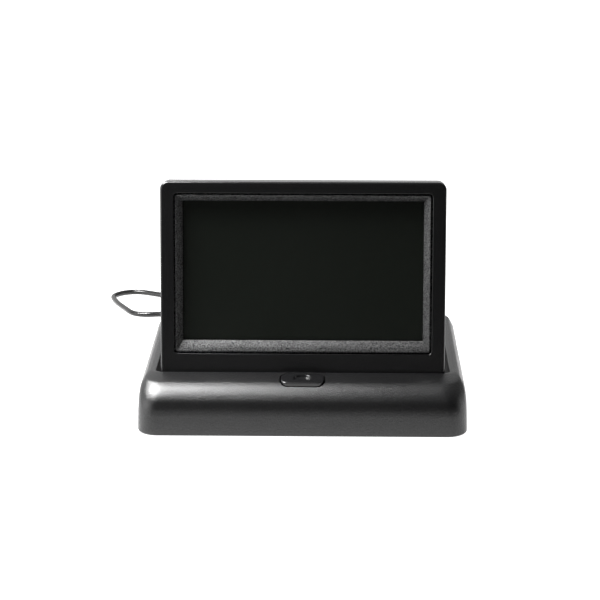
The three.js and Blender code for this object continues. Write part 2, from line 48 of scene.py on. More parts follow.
# ---- Camera ----
camera = bpy.data.objects.new("camera", bpy.data.cameras.new("camera"))
bpy.context.scene.collection.objects.link(camera)
camera.location = (0.0141, -0.8335, 0.2729)
camera.rotation_euler = (math.radians(74.52), 0, math.radians(1.09))
camera.data.sensor_width = 36
camera.data.lens = 122.75
camera.data.clip_start = 0.05
camera.data.clip_end = 20
bpy.context.scene.camera = camera
bpy.context.scene.view_settings.view_transform = "Standard"

# ---- Dimensions shared with the CAD ----
BASE_HALF_W, BASE_HALF_D, BASE_TOP, SKIRT_Z = 66.8, 55.0, 21.7, 0.2
WALL = 2.0
TRAY_HALF_W, TRAY_FRONT, TRAY_BACK, TRAY_FLOOR, TRAY_R, TRAY_WALL = 60.0, -37.2, 50.6, 8.2, 3.0, 1.8
# Height, insets of side, front and back, and plan corner radius of the base's skin
BASE_SKIN = [
    (SKIRT_Z, 0.4, 0.4, 0.4, 8.0), (1, 0, 0, 0, 8.0), (8.2, 0.15, 0.3, 0.4, 8.3),
    (10.3, 0.22, 0.55, 0.6, 8.45), (12.2, 0.3, 1.0, 0.8, 8.6), (14.1, 0.44, 1.8, 0.95, 8.9),
    (15.85, 0.63, 3.1, 1.15, 9.1), (17.4, 0.92, 4.65, 1.4, 9.2), (18.55, 1.3, 6.1, 1.75, 9.0),
    (19.45, 1.85, 7.6, 2.1, 8.0), (20.15, 2.3, 9.14, 2.35, 6.7), (20.95, 3.0, 12.8, 2.65, 4.8),
    (BASE_TOP, 4.6, 17.2, 3.2, 3.5)]
HINGE_Y, HINGE_Z, LEAN = -32.3, 16.5, math.radians(8)
SCREEN_HALF_W, SCREEN_LOW, SCREEN_HIGH, APRON_LOW, APRON_THICK = 57.95, 4.3, 82.2, 3.1, 0.9
UPPER_R, LOWER_R, HOLLOW_R = 3.2, 0.6, 1.6  # corners of the screen's outline, and of the hollow in it
SCREEN_FACE, SCREEN_SPLIT, SCREEN_REAR, SHELL, GAP = -5.0, 2.0, 7.5, 1.8, 0.3
RING_X, RING_LOW, RING_HIGH, RING_R = 52.5, 11.9, 77.5, 1.6
WINDOW_X, WINDOW_LOW, WINDOW_HIGH = 49.0, 17.1, 74.3
GROOVE = 0.7
KEY_X, KEY_FRONT, KEY_BACK, KEY_R, KEY_LOW, KEY_HIGH = 8.75, -47.8, -38.9, 3.0, 16.2, 21.7
KEY_SLOPE = math.tan(math.radians(6.3))
DIMPLE_X, DIMPLE_HALF, DIMPLE_R = 3.6, 3.1, 3.0
KEY_HOLE_LOW = 12.8
# The gap round the key, wider than the CAD's 0.35 at the sides and front, so that it shows as a dark line
KEY_GAP_SIDE, KEY_GAP_FRONT, KEY_GAP_BACK = 0.55, 0.5, 0.35
LATCH_SLOT_X, LATCH_SLOT_LOW, LATCH_SLOT_HIGH = 4.4, 10.8, 15.1
PIN_END, PIN_HOLE_R, SLEEVE_END, SLEEVE_HOLE_R = -62.5, 1.8, 63.2, 2.5
LEAD_R = 1.25
GLAND_X, GLAND_Z = -30.0, 4.9
COIL_X, COIL_Y = 20.0, 118.0
CONNECTOR_X, CONNECTOR_Y, CONNECTOR_Z = 43.0, 99.0, 4.9
SCREW_X, SCREW_LOW, SCREW_HIGH = 54.6, 14, 72


# ---- Mesh helpers ----
def rounded(x0, x1, y0, y1, near, steps=10, along=6, far=None):
    """Outline of a rounded rectangle, anticlockwise, with the same number of points whatever its size;
    far is the radius of the two corners at y1 if it isn't the same."""
    far = near if far is None else far
    centres = [(x1 - near, y0 + near, -90, near), (x1 - far, y1 - far, 0, far), (x0 + far, y1 - far, 90, far),
               (x0 + near, y0 + near, 180, near)]
    corners = []
    for cx, cy, start, r in centres:
        arc = [math.radians(start + 90 * i / steps) for i in range(steps + 1)]
        corners.append([(cx + r * math.cos(a), cy + r * math.sin(a)) for a in arc])
    points = []
    for i, corner in enumerate(corners):
        points += corner
        (ax, ay), (bx, by) = corner[-1], corners[(i + 1) % 4][0]
        points += [(ax + (bx - ax) * k / along, ay + (by - ay) * k / along) for k in range(1, along)]
    return points


def flat_ring(x0, x1, y0, y1, r, z, **how):
    return [(x, y, z) for x, y in rounded(x0, x1, y0, y1, r, **how)]


def shell_ring(inset, y, low=SCREEN_LOW):
    """The screen's own outline at one depth, with small lower corners."""
    return panel_ring(SCREEN_HALF_W - inset, low + inset, SCREEN_HIGH - inset, UPPER_R - inset * 0.5, y,
                      far=LOWER_R - inset * 0.25)


def panel_ring(x, low, high, r, y, **how):
    """The same outline standing in the screen's own axes: x across, y to the back, z up."""
    return [(px, y, -pz) for px, pz in rounded(-x, x, -high, -low, r, **how)]


def skin(bm, rings, closed=False):
    """Joins rings of equal count into a skin; closed joins the last to the first, and otherwise both are
    capped."""
    rows = [[bm.verts.new(p) for p in ring] for ring in rings]
    pairs = list(zip(rows, rows[1:]))
    if closed:
        pairs.append((rows[-1], rows[0]))
    for a, b in pairs:
        for i in range(len(a)):
            j = (i + 1) % len(a)
            bm.faces.new((a[i], a[j], b[j], b[i]))
    if not closed:
        bm.faces.new(rows[0][::-1])
        bm.faces.new(rows[-1])


def turned(bm, profile, segments, place):
    """A closed solid of revolution; profile is (radius, distance) pairs, and place maps (x, y, distance)
    to a point."""
    rings = []
    for r, d in profile:
        angles = [2 * math.pi * i / segments for i in range(segments)]
        rings.append([place(r * math.cos(a), r * math.sin(a), d) for a in angles])
    skin(bm, rings)


def cross_rod(bm, x0, x1, y, z, r, sides=40, bevel=0.0):
    """A rod across the part, from x0 to x1, with its ends bevelled if asked."""
    profile = [(0.001, x0), (r, x0), (r, x1), (0.001, x1)]
    if bevel:
        profile[1:3] = [(r - bevel, x0), (r, x0 + bevel), (r, x1 - bevel), (r - bevel, x1)]
    turned(bm, profile, sides, lambda a, b, d: (d, y + a, z + b))


def block(bm, low, high):
    (x0, y0, z0), (x1, y1, z1) = low, high
    skin(bm, [[(x0, y0, z), (x1, y0, z), (x1, y1, z), (x0, y1, z)] for z in (z0, z1)])


def place_panel(p):
    """From the screen's own axes to the row frame, in millimetres."""
    x, y, z = p
    c, s = math.cos(LEAN), math.sin(LEAN)
    return x, HINGE_Y + y * c + z * s, HINGE_Z - y * s + z * c


def to_object(name, bm, leaning=False):
    """Turns the bmesh, in millimetres, into an object in metres."""
    if leaning:
        for v in bm.verts:
            v.co = place_panel(v.co)
    bmesh.ops.scale(bm, vec=(MM, MM, MM), verts=bm.verts)
    bmesh.ops.recalc_face_normals(bm, faces=bm.faces)
    mesh = bpy.data.meshes.new(name)
    bm.to_mesh(mesh)
    bm.free()
    obj = bpy.data.objects.new(name, mesh)
    bpy.context.scene.collection.objects.link(obj)
    return obj


def carve(obj, cutters, operation="DIFFERENCE"):
    """Applies a boolean with each cutter, and removes the cutters."""
    for cutter in cutters:
        modifier = obj.modifiers.new("cut", "BOOLEAN")
        modifier.operation = operation
        modifier.solver = "EXACT"
        modifier.object = cutter
    bpy.context.view_layer.update()
    evaluated = obj.evaluated_get(bpy.context.evaluated_depsgraph_get())
    mesh = bpy.data.meshes.new_from_object(evaluated)
    obj.modifiers.clear()
    old, obj.data = obj.data, mesh
    bpy.data.meshes.remove(old)
    for cutter in cutters:
        bpy.data.objects.remove(cutter)
    return obj


def smooth(obj, angle=30):
    obj.data.shade_smooth()
    obj.data.set_sharp_from_angle(angle=math.radians(angle))
    weighted = obj.modifiers.new("normals", "WEIGHTED_NORMAL")
    weighted.keep_sharp = True
    return obj


def arc(steps=6):
    """(sine, 1 - cosine) pairs from 0 to 90 degrees, for rounding an edge."""
    angles = [math.pi / 2 * i / steps for i in range(steps + 1)]
    return [(math.sin(a), 1 - math.cos(a)) for a in angles]


def tangents(xs, ys):
    """Monotone cubic slopes, so that the interpolated skin never overshoots its rows."""
    d = [(ys[i + 1] - ys[i]) / (xs[i + 1] - xs[i]) for i in range(len(xs) - 1)]
    return [d[0]] + [0 if a * b <= 0 else 2 * a * b / (a + b) for a, b in zip(d, d[1:])] + [d[-1]]


def refined(rows, per):
    """Rows with per - 1 more between each pair, on a monotone cubic."""
    xs = [0.0]
    for a, b in zip(rows, rows[1:]):
        xs.append(xs[-1] + math.hypot(b[0] - a[0], b[2] - a[2], b[1] - a[1]))
    columns = list(zip(*rows))
    slopes = [tangents(xs, c) for c in columns]
    out = []
    for i in range(len(rows) - 1):
        h = xs[i + 1] - xs[i]
        for k in range(per if i < len(rows) - 2 else per + 1):
            t = k / per
            h00, h10 = 2 * t**3 - 3 * t**2 + 1, t**3 - 2 * t**2 + t
            h01, h11 = -2 * t**3 + 3 * t**2, t**3 - t**2
            out.append(tuple(h00 * c[i] + h10 * h * m[i] + h01 * c[i + 1] + h11 * h * m[i + 1]
                             for c, m in zip(columns, slopes)))
    return out


# ---- Materials ----
# An offset and a turn of the noise, so that its own grid doesn't line up with the part's faces
NOISE_OFFSET, NOISE_TURN = (0.731, 0.417, 0.293), (0.4, 0.7, 0.3)
PLAIN_SPECULAR = 0.5


def material(name, colour, roughness, metallic=0.0, grains=(), mottle=0.06, vary=0.08, weave=None,
             patches=60.0, sparkle=0.0):
    """A finish with its own grain. grains is (size in mm, strength, height in mm) for each layer of bump,
    mottle how far the colour drifts, vary how far the roughness does, patches the drift's size in mm,
    weave the width of a woven band in mm, and sparkle how unevenly the grain shines."""
    mat = bpy.data.materials.new(name)
    mat.use_nodes = True
    tree = mat.node_tree
    bsdf = tree.nodes["Principled BSDF"]
    bsdf.inputs["Metallic"].default_value = metallic
    bsdf.inputs["IOR"].default_value = 1.5
    coords = tree.nodes.new("ShaderNodeTexCoord")
    moved = tree.nodes.new("ShaderNodeMapping")
    moved.inputs["Location"].default_value = NOISE_OFFSET
    moved.inputs["Rotation"].default_value = NOISE_TURN
    tree.links.new(coords.outputs["Object"], moved.inputs["Vector"])

    def noise_node(size, detail=3.0, rough=0.55):
        node = tree.nodes.new("ShaderNodeTexNoise")
        node.inputs["Scale"].default_value = 1000 / size
        node.inputs["Detail"].default_value = detail
        node.inputs["Roughness"].default_value = rough
        tree.links.new(moved.outputs["Vector"], node.inputs["Vector"])
        return node

    drift = noise_node(patches, 4.0)
    ramp = tree.nodes.new("ShaderNodeMapRange")
    ramp.inputs["From Min"].default_value = 0.3
    ramp.inputs["From Max"].default_value = 0.7
    ramp.inputs["To Min"].default_value = max(0.02, roughness - vary)
    ramp.inputs["To Max"].default_value = min(1, roughness + vary)
    tree.links.new(drift.outputs["Fac"], ramp.inputs["Value"])
    tree.links.new(ramp.outputs["Result"], bsdf.inputs["Roughness"])
    tint = tree.nodes.new("ShaderNodeMix")
    tint.data_type = "RGBA"
    tint.inputs["A"].default_value = (*[c * (1 - mottle) for c in colour], 1)
    tint.inputs["B"].default_value = (*[min(1, c * (1 + mottle)) for c in colour], 1)
    speckle = noise_node(grains[0][0] * 2 if grains else 3.0)
    tree.links.new(speckle.outputs["Fac"], tint.inputs["Factor"])
    tree.links.new(tint.outputs["Result"], bsdf.inputs["Base Color"])
    if sparkle:
        glints = tree.nodes.new("ShaderNodeMapRange")
        glints.inputs["From Min"].default_value = 0.32
        glints.inputs["From Max"].default_value = 0.68
        glints.inputs["To Min"].default_value = PLAIN_SPECULAR - sparkle
        glints.inputs["To Max"].default_value = PLAIN_SPECULAR + sparkle
        tree.links.new(noise_node(grains[0][0], 2.0).outputs["Fac"], glints.inputs["Value"])
        tree.links.new(glints.outputs["Result"], bsdf.inputs["Specular IOR Level"])
    normal = None
    for size, strength, height in grains:
        layer = noise_node(size, 4.0, 0.6)
        bump = tree.nodes.new("ShaderNodeBump")
        bump.inputs["Strength"].default_value = strength
        bump.inputs["Distance"].default_value = height * MM
        tree.links.new(layer.outputs["Fac"], bump.inputs["Height"])
        if normal:
            tree.links.new(normal, bump.inputs["Normal"])
        normal = bump.outputs["Normal"]
    if weave:
        wave = tree.nodes.new("ShaderNodeTexWave")
        wave.inputs["Scale"].default_value = 1000 / weave / 2
        wave.bands_direction = "DIAGONAL"
        wave.inputs["Distortion"].default_value = 0.6
        tree.links.new(coords.outputs["Object"], wave.inputs["Vector"])
        bump = tree.nodes.new("ShaderNodeBump")
        bump.inputs["Strength"].default_value = 0.7
        bump.inputs["Distance"].default_value = 0.15 * MM
        tree.links.new(wave.outputs["Fac"], bump.inputs["Height"])
        if normal:
            tree.links.new(normal, bump.inputs["Normal"])
        normal = bump.outputs["Normal"]
    if normal:
        tree.links.new(normal, bsdf.inputs["Normal"])
    return mat


base_plastic = material("base_plastic", (0.004, 0.004, 0.0042), 0.3, vary=0.015, sparkle=0.05,
                        grains=[(0.6, 1.0, 0.14), (2.2, 0.08, 0.05)])
key_plastic = material("key_plastic", (0.005, 0.005, 0.0053), 0.22, grains=[(0.35, 0.2, 0.02)], vary=0.02)
frame_plastic = material("frame_plastic", (0.004, 0.004, 0.0042), 0.25, vary=0.015,
                         grains=[(0.3, 0.2, 0.015), (1.6, 0.05, 0.02)])
bezel_plastic = material("bezel_plastic", (0.008, 0.008, 0.0083), 0.42, mottle=0.25, vary=0.02, sparkle=0.45,
                         grains=[(0.6, 1.0, 0.24), (1.4, 0.3, 0.1)])
screen_glass = material("screen_glass", (0.005, 0.0062, 0.0048), 0.2, mottle=0.02, vary=0.03,
                        grains=[(0.25, 0.1, 0.004)])
rubber = material("rubber", (0.008, 0.008, 0.008), 0.22, grains=[(0.8, 0.12, 0.02)], vary=0.05)
foam = material("foam", (0.028, 0.028, 0.028), 0.9, grains=[(0.9, 0.9, 0.2), (0.3, 0.6, 0.08)], mottle=0.3)
webbing = material("webbing", (0.016, 0.016, 0.017), 0.75, grains=[(0.4, 0.3, 0.03)], weave=0.6)
steel = material("steel", (0.56, 0.57, 0.58), 0.28, metallic=1.0, patches=6,
                 grains=[(0.25, 0.25, 0.006), (2.2, 0.1, 0.01)])
nylon = material("nylon", (0.74, 0.73, 0.67), 0.42, grains=[(0.4, 0.2, 0.02)], patches=8)
solder_mask = material("circuit_board", (0.012, 0.13, 0.04), 0.3, mottle=0.35, patches=9,
                       grains=[(0.9, 0.3, 0.02)])
chip_black = material("chip_black", (0.016, 0.016, 0.017), 0.4, grains=[(0.2, 0.4, 0.01)], patches=5)
white_film = material("white_film", (0.82, 0.83, 0.82), 0.35, grains=[(0.4, 0.2, 0.01)], patches=20)
amber_film = material("amber_film", (0.45, 0.2, 0.03), 0.3, mottle=0.2, patches=6, grains=[(0.8, 0.3, 0.01)])

FINISHES = {
    "base_plastic": base_plastic, "key_plastic": key_plastic, "frame_plastic": frame_plastic,
    "bezel_plastic": bezel_plastic, "screen_glass": screen_glass, "rubber": rubber, "foam": foam,
    "steel": steel, "nylon": nylon, "circuit_board": solder_mask, "chip_black": chip_black,
    "white_film": white_film, "amber_film": amber_film}
for part in frame["record"]["subparts"]:
    kept = NODES[part["node"]]
    kept.data.materials.clear()
    kept.data.materials.append(FINISHES[part["material_slot"]])
    kept.data.shade_smooth()
    kept.data.set_sharp_from_angle(angle=math.radians(32))


def finish_piece(obj, mat, body, slot, *nodes):
    """Gives a piece its material and its body, and hides the CAD nodes that it stands for; slot is not used.
    """
    obj.data.materials.clear()
    obj.data.materials.append(mat)
    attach(obj, body)
    if nodes:
        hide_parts(*nodes)
    return obj


# ---- Lead ----
ON_TABLE = LEAD_R + 0.05
LEAD_ROUTE = [
    (GLAND_X, 70.3, GLAND_Z), (-30.3, 75, 4.5), (-31, 80, 3.2), (-32, 86, 2), (-34, 93, 1.4),
    (-38, 102, ON_TABLE), (-44, 110, ON_TABLE), (-52, 116.5, ON_TABLE), (-62, 119.6, ON_TABLE),
    (-71, 120.2, ON_TABLE), (-79, 119.2, ON_TABLE), (-85.3, 122, ON_TABLE), (-90.3, 131, ON_TABLE),
    (-95, 141, ON_TABLE), (-97.9, 150.3, ON_TABLE), (-96.9, 154.7, ON_TABLE), (-94.1, 158.3, ON_TABLE),
    (-90.1, 160.4, ON_TABLE), (-85.6, 160.6, ON_TABLE), (-81, 158.9, ON_TABLE), (-72, 154, ON_TABLE),
    (-58, 147.4, ON_TABLE), (-42, 142, ON_TABLE), (-26, 139, ON_TABLE), (-10, 137.3, 1.5), (6, 136, 1.8)]
TAIL_ROUTE = [
    (33.1, 133.6, 6.8), (38.2, 129.2, 6.5), (41.8, 123.5, 6.1), (43.5, 117, 5.7), (43.6, 110.5, 5.3),
    (43.2, 104.5, 5.0), (CONNECTOR_X, CONNECTOR_Y + GAP, CONNECTOR_Z)]
# Radius and height of the lead's middle in each turn, in the order in which it was wound
TURNS = [(17.05, 2.3), (14.5, 2.3), (11.95, 2.3), (11.95, 4.82), (14.5, 4.82), (17.05, 4.82), (17.05, 7.34)]


def eased(t):
    t = min(1.0, max(0.0, t))
    return t * t * (3 - 2 * t)


def coil_points():
    """Clockwise from the back of the coil, moving to the next radius or layer early in each turn."""
    points = []
    per_turn, left_out, shift = 36, 3, 50 / 360  # shift is the share of a turn that the move takes
    for i in range(len(TURNS) * per_turn - left_out):
        turn, part = divmod(i, per_turn)
        (r0, z0), (r1, z1) = TURNS[max(turn - 1, 0)], TURNS[turn]
        k = eased(part / per_turn / shift)
        r, z = r0 + (r1 - r0) * k, z0 + (z1 - z0) * k
        angle = math.pi / 2 - 2 * math.pi * i / per_turn
        points.append((COIL_X + r * math.cos(angle), COIL_Y + r * math.sin(angle), z))
    return points


def leaving(angle, r, z):
    """A point of the lead where it comes off the coil, by its angle in degrees and its radius."""
    a = math.radians(angle)
    return COIL_X + r * math.cos(a), COIL_Y + r * math.sin(a), z


LEAD_POINTS = (LEAD_ROUTE + coil_points() + [leaving(107, 17.2, 7.34), leaving(92, 17.8, 7.3),
                                             leaving(77, 18.9, 7.2), leaving(63, 19.8, 7.0)] + TAIL_ROUTE)


def catmull(points, per):
    """Points on a uniform Catmull-Rom curve through the given ones, per of them to each stretch."""
    points = [Vector(p) for p in points]
    ends = [2 * points[0] - points[1], *points, 2 * points[-1] - points[-2]]
    out = []
    for a, b, c, d in zip(ends, ends[1:], ends[2:], ends[3:]):
        for k in range(per):
            t = k / per
            out.append(0.5 * (2 * b + (c - a) * t + (2 * a - 5 * b + 4 * c - d) * t**2
                              + (3 * b - a - 3 * c + d) * t**3))
    out.append(points[-1])
    return out


def make_lead():
    points = catmull(LEAD_POINTS, 4)
    curve = bpy.data.curves.new("lead", "CURVE")
    curve.dimensions = "3D"
    curve.bevel_depth = LEAD_R * MM
    curve.bevel_resolution = 6
    curve.use_fill_caps = True
    spline = curve.splines.new("POLY")
    spline.points.add(len(points) - 1)
    for target, p in zip(spline.points, points):
        target.co = (p.x * MM, p.y * MM, p.z * MM, 1)
    spline.use_smooth = True
    obj = bpy.data.objects.new("lead", curve)
    bpy.context.scene.collection.objects.link(obj)
    length = sum((b - a).length for a, b in zip(points, points[1:])) * MM
    return finish_piece(obj, rubber, "base", "rubber", "main_cable", "cable_coil", "connector_lead"), length


def along_gland(x, y, d):
    return GLAND_X + x, d, GLAND_Z + y


def along_connector(x, y, d):
    return CONNECTOR_X + x, CONNECTOR_Y - d, CONNECTOR_Z + y


def make_gland():
    profile = [(0.05, 52.4), (2.3, 52.4), (2.3, 55.35), (3.0, 55.35), (3.2, 55.55), (3.2, 56.5), (3.0, 56.8),
               (2.62, 57.1)]
    start, end, grooves = 57.4, 69.6, 6
    pitch = (end - start) / grooves
    for i in range(grooves):
        d = start + i * pitch
        r = 2.58 - 0.8 * i / grooves
        profile += [(r, d), (r - 0.05, d + 0.45 * pitch), (r - 0.12, d + 0.55 * pitch),
                    (r - 0.5, d + 0.6 * pitch), (r - 0.52, d + 0.9 * pitch), (r - 0.2, d + 0.95 * pitch)]
    profile += [(1.72, 69.7), (1.6, 69.95), (1.4, 70), (0.05, 70)]
    bm = bmesh.new()
    turned(bm, profile, 48, along_gland)
    return finish_piece(smooth(to_object("strain_relief", bm), 40), rubber, "base", "rubber", "cable_gland")


def make_connector():
    body = bmesh.new()
    profile = [(0.05, 0.05), (1.6, 0.05), (1.85, 0.3)]
    for i in range(5):
        d, r = 0.7 + 1.25 * i, 1.9 + 0.08 * i
        profile += [(r, d), (r, d + 0.6), (r - 0.35, d + 0.72), (r - 0.35, d + 1.05), (r + 0.02, d + 1.15)]
    profile += [(2.35, 7.1), (3.0, 7.5), (3.7, 8.0), (4.15, 8.5), (4.3, 9.0), (4.3, 12.7), (4.15, 12.95),
                (3.45, 13.1), (3.45, 20.4), (3.3, 20.5), (0.05, 20.5)]
    turned(body, profile, 48, along_connector)
    shell = smooth(to_object("connector_shell", body), 40)
    finish_piece(shell, rubber, "base", "rubber", "connector_body")

    # The ring's section as (distance, radius), with shallow ribs between the two distances in knurl
    collar = bmesh.new()
    section = [(13.45, 4.45), (13.6, 4.7), (14.6, 4.72), (14.8, 4.78), (22.4, 4.78), (22.6, 4.6),
               (23.8, 4.6), (23.95, 4.45), (23.95, 3.95), (23.7, 3.85), (13.6, 3.85), (13.45, 3.95)]
    knurl, knurl_r, ribs, rib_depth = (14.7, 22.5), 4.5, 30, 0.28
    points, rings = ribs * 6, []
    for d, outer in section:
        knurled = knurl[0] < d < knurl[1] and outer > knurl_r
        ring = []
        for i in range(points):
            a = 2 * math.pi * i / points
            r = outer - (rib_depth * (0.5 - 0.5 * math.cos(a * ribs)) ** 2 if knurled else 0)
            ring.append(along_connector(r * math.cos(a), r * math.sin(a), d))
        rings.append(ring)
    skin(collar, rings, closed=True)
    grip = smooth(to_object("connector_ring", collar), 50)
    finish_piece(grip, chip_black, "base", "chip_black", "connector_collar")
    return [shell, grip]


def make_tie():
    """A plain closed strap round the coil's section."""
    bm = bmesh.new()
    x0, x1, z0, z1 = 10.45, 18.6, 0.75, 8.85
    thick, half, edge, above_table, turn = 0.62, 1.5, 0.15, 0.05, math.radians(200)
    section = rounded(x0 - thick, x1 + thick, max(above_table, z0 - thick), z1 + thick, 2.2, 8, 3)
    hollow = rounded(x0, x1, z0, z1, 1.7, 8, 3)
    loops = []
    for (w, inset) in [(-half, edge), (-half + edge, 0), (half - edge, 0), (half, edge)]:
        loops.append([(x + (hx - x) * inset / thick, w, z + (hz - z) * inset / thick)
                      for (x, z), (hx, hz) in zip(section, hollow)])
    for (w, inset) in [(half, edge), (half - edge, 0), (-half + edge, 0), (-half, edge)]:
        loops.append([(hx + (x - hx) * inset / thick, w, hz + (z - hz) * inset / thick)
                      for (x, z), (hx, hz) in zip(section, hollow)])
    skin(bm, loops, closed=True)
    bmesh.ops.rotate(bm, matrix=Matrix.Rotation(turn, 3, "Z"), verts=bm.verts)
    bmesh.ops.translate(bm, vec=(COIL_X, COIL_Y, 0), verts=bm.verts)
    return finish_piece(smooth(to_object("coil_strap", bm), 40), webbing, "base", "foam", "cable_tie")


lead, lead_length = make_lead()
lead_pieces = [make_gland(), *make_connector(), make_tie(), NODES["connector_insert"]]
lead_pieces += [NODES[f"connector_pin_{i}"] for i in (1, 2, 3, 4)]


# ---- Base housing ----
def base_ring(row, wall=0.0, drop=0.0, clear=0.0):
    z, side, front, back, r = row
    x = BASE_HALF_W - side - wall
    low, high = front + wall - BASE_HALF_D, BASE_HALF_D - back - wall
    if clear:  # inside, the skin never crosses the tray's own walls
        x = max(x, TRAY_HALF_W + TRAY_WALL + clear)
        low = min(low, TRAY_FRONT - TRAY_WALL - clear)
        high = max(high, TRAY_BACK + TRAY_WALL + clear)
    return flat_ring(-x, x, low, high, max(r - wall, 1.2), z - drop, along=24)


def tray_ring(out, z):
    return flat_ring(-TRAY_HALF_W - out, TRAY_HALF_W + out, TRAY_FRONT - out, TRAY_BACK + out,
                     TRAY_R + max(out, -1), z, along=24)


def make_housing():
    bm = bmesh.new()
    per_row, lip, fillet = 5, 0.45, 0.8
    inside_low, inside_high, clear = 3, 20.95, 0.05  # heights of the outer rows that have an inner one
    outer = refined(BASE_SKIN, per_row)
    inner = [row for row in outer[::-1] if inside_low < row[0] < inside_high]
    rings = [tray_ring(TRAY_WALL, z) for z in (TRAY_FLOOR - TRAY_WALL, 12, 19)]
    rings += [base_ring(row, WALL, WALL, clear) for row in inner]
    rings.append([(x, y, SKIRT_Z) for x, y, _ in base_ring(outer[per_row], WALL)])
    rings += [base_ring(row) for row in outer]
    rings += [tray_ring(lip * (1 - s), BASE_TOP - lip * c) for s, c in arc(5)]
    rings.append(tray_ring(0, TRAY_FLOOR + 6))
    rings += [tray_ring(-fillet * c, TRAY_FLOOR + fillet * (1 - s)) for s, c in arc(5)]
    skin(bm, rings)
    obj = to_object("base_housing", bm)

    cutters = []
    key_hole = bmesh.new()
    skin(key_hole, [flat_ring(-KEY_X - KEY_GAP_SIDE, KEY_X + KEY_GAP_SIDE, KEY_FRONT - KEY_GAP_FRONT,
                              KEY_BACK + KEY_GAP_BACK, KEY_R + KEY_GAP_FRONT, z, steps=12)
                    for z in (KEY_HOLE_LOW, BASE_TOP + 5)])
    cutters.append(to_object("cut_key", key_hole))
    latch_slot = bmesh.new()
    block(latch_slot, (-LATCH_SLOT_X, TRAY_FRONT - TRAY_WALL - 1, LATCH_SLOT_LOW),
          (LATCH_SLOT_X, TRAY_FRONT + 1, LATCH_SLOT_HIGH))
    cutters.append(to_object("cut_slot", latch_slot))
    for name, x0, x1, r in [("cut_pin", PIN_END, -TRAY_HALF_W + 1, PIN_HOLE_R),
                            ("cut_sleeve", TRAY_HALF_W - 1, SLEEVE_END, SLEEVE_HOLE_R)]:
        hole = bmesh.new()
        cross_rod(hole, x0, x1, HINGE_Y, HINGE_Z, r, 32)
        cutters.append(to_object(name, hole))
    gland_hole = bmesh.new()
    gland_r, start, end = 2.6, 51.6, 58
    turned(gland_hole, [(0.001, start), (gland_r, start), (gland_r, end), (0.001, end)], 32, along_gland)
    cutters.append(to_object("cut_gland", gland_hole))
    carve(obj, cutters)
    return finish_piece(smooth(obj, 28), base_plastic, "base", "base_plastic", "base_upper_housing")


make_housing()


# ---- Release key ----
def make_key():
    def top(y):
        return KEY_HIGH + KEY_SLOPE * (y - KEY_BACK)

    def key_ring(out, below=None, z=None):
        ring = flat_ring(-KEY_X - out, KEY_X + out, KEY_FRONT - out, KEY_BACK + out, max(KEY_R + out, 0.4), 0,
                         steps=14, along=8)
        return [(x, y, z if z is not None else top(y) - below) for x, y, _ in ring]

    bm = bmesh.new()
    edge = 0.35
    rings = [key_ring(-0.2, z=KEY_LOW), key_ring(0, z=KEY_LOW + 0.2), key_ring(0, below=1.2)]
    rings += [key_ring(-edge * c, below=edge * (1 - s)) for s, c in arc(7)]
    rings += [key_ring(-edge - 0.6, below=0)]
    skin(bm, rings)
    key = to_object("key_cap", bm)
    dimple = bmesh.new()
    middle = (KEY_FRONT + KEY_BACK) / 2
    # How far the dimple's wall stands out and up from its rim, from above the key down to its floor
    wall = [(0.2, 3), (0.2, 0.1), (0, -0.06), (-0.06, -0.2), (-0.2, -0.76), (-0.28, -0.84), (-0.5, -0.85)]
    rings = []
    for out, z in wall:
        ring = flat_ring(-DIMPLE_X - out, DIMPLE_X + out, -DIMPLE_HALF - out, DIMPLE_HALF + out,
                         DIMPLE_R + out, z, steps=10, along=4)
        rings.append([(x, middle + y, top(middle + y) + dz) for x, y, dz in ring])
    skin(dimple, rings)
    carve(key, [to_object("cut_dimple", dimple)])
    smooth(key, 32)
    finish_piece(key, key_plastic, "release_key", "key_plastic", "release_key")

    # The flanges that hold it in and the posts above them, by their nearer and farther side, front, back,
    # bottom and top, and the two cam legs that drive the latch, by the front, back and height of their ends
    flange, post = (4.7, 9.8, -47, -40.2, 14.4, 15.8), (4.9, 8.5, -45.9, -40.3, 15.7, KEY_LOW + 0.3)
    leg_x, leg_half, leg_ends = 5.7, 1, [(-43.1, -41.3, 11), (-46.7, -44.9, 14.6)]
    bm = bmesh.new()
    for side in (-1, 1):
        for near, far, front, back, low, high in (flange, post):
            a, b = sorted((side * near, side * far))
            block(bm, (a, front, low), (b, back, high))
        a, b = side * leg_x - leg_half, side * leg_x + leg_half
        skin(bm, [[(a, front, z), (b, front, z), (b, back, z), (a, back, z)] for front, back, z in leg_ends])
    finish_piece(smooth(to_object("key_legs", bm)), key_plastic, "release_key", "key_plastic")


make_key()


# ---- Screen ----
def hollow_ring(y, inset=0.0):
    """The inside of the screen's two shells at one depth."""
    x = SCREEN_HALF_W - SHELL - inset
    return panel_ring(x, SCREEN_LOW + SHELL + inset, SCREEN_HIGH - SHELL - inset, HOLLOW_R, y)


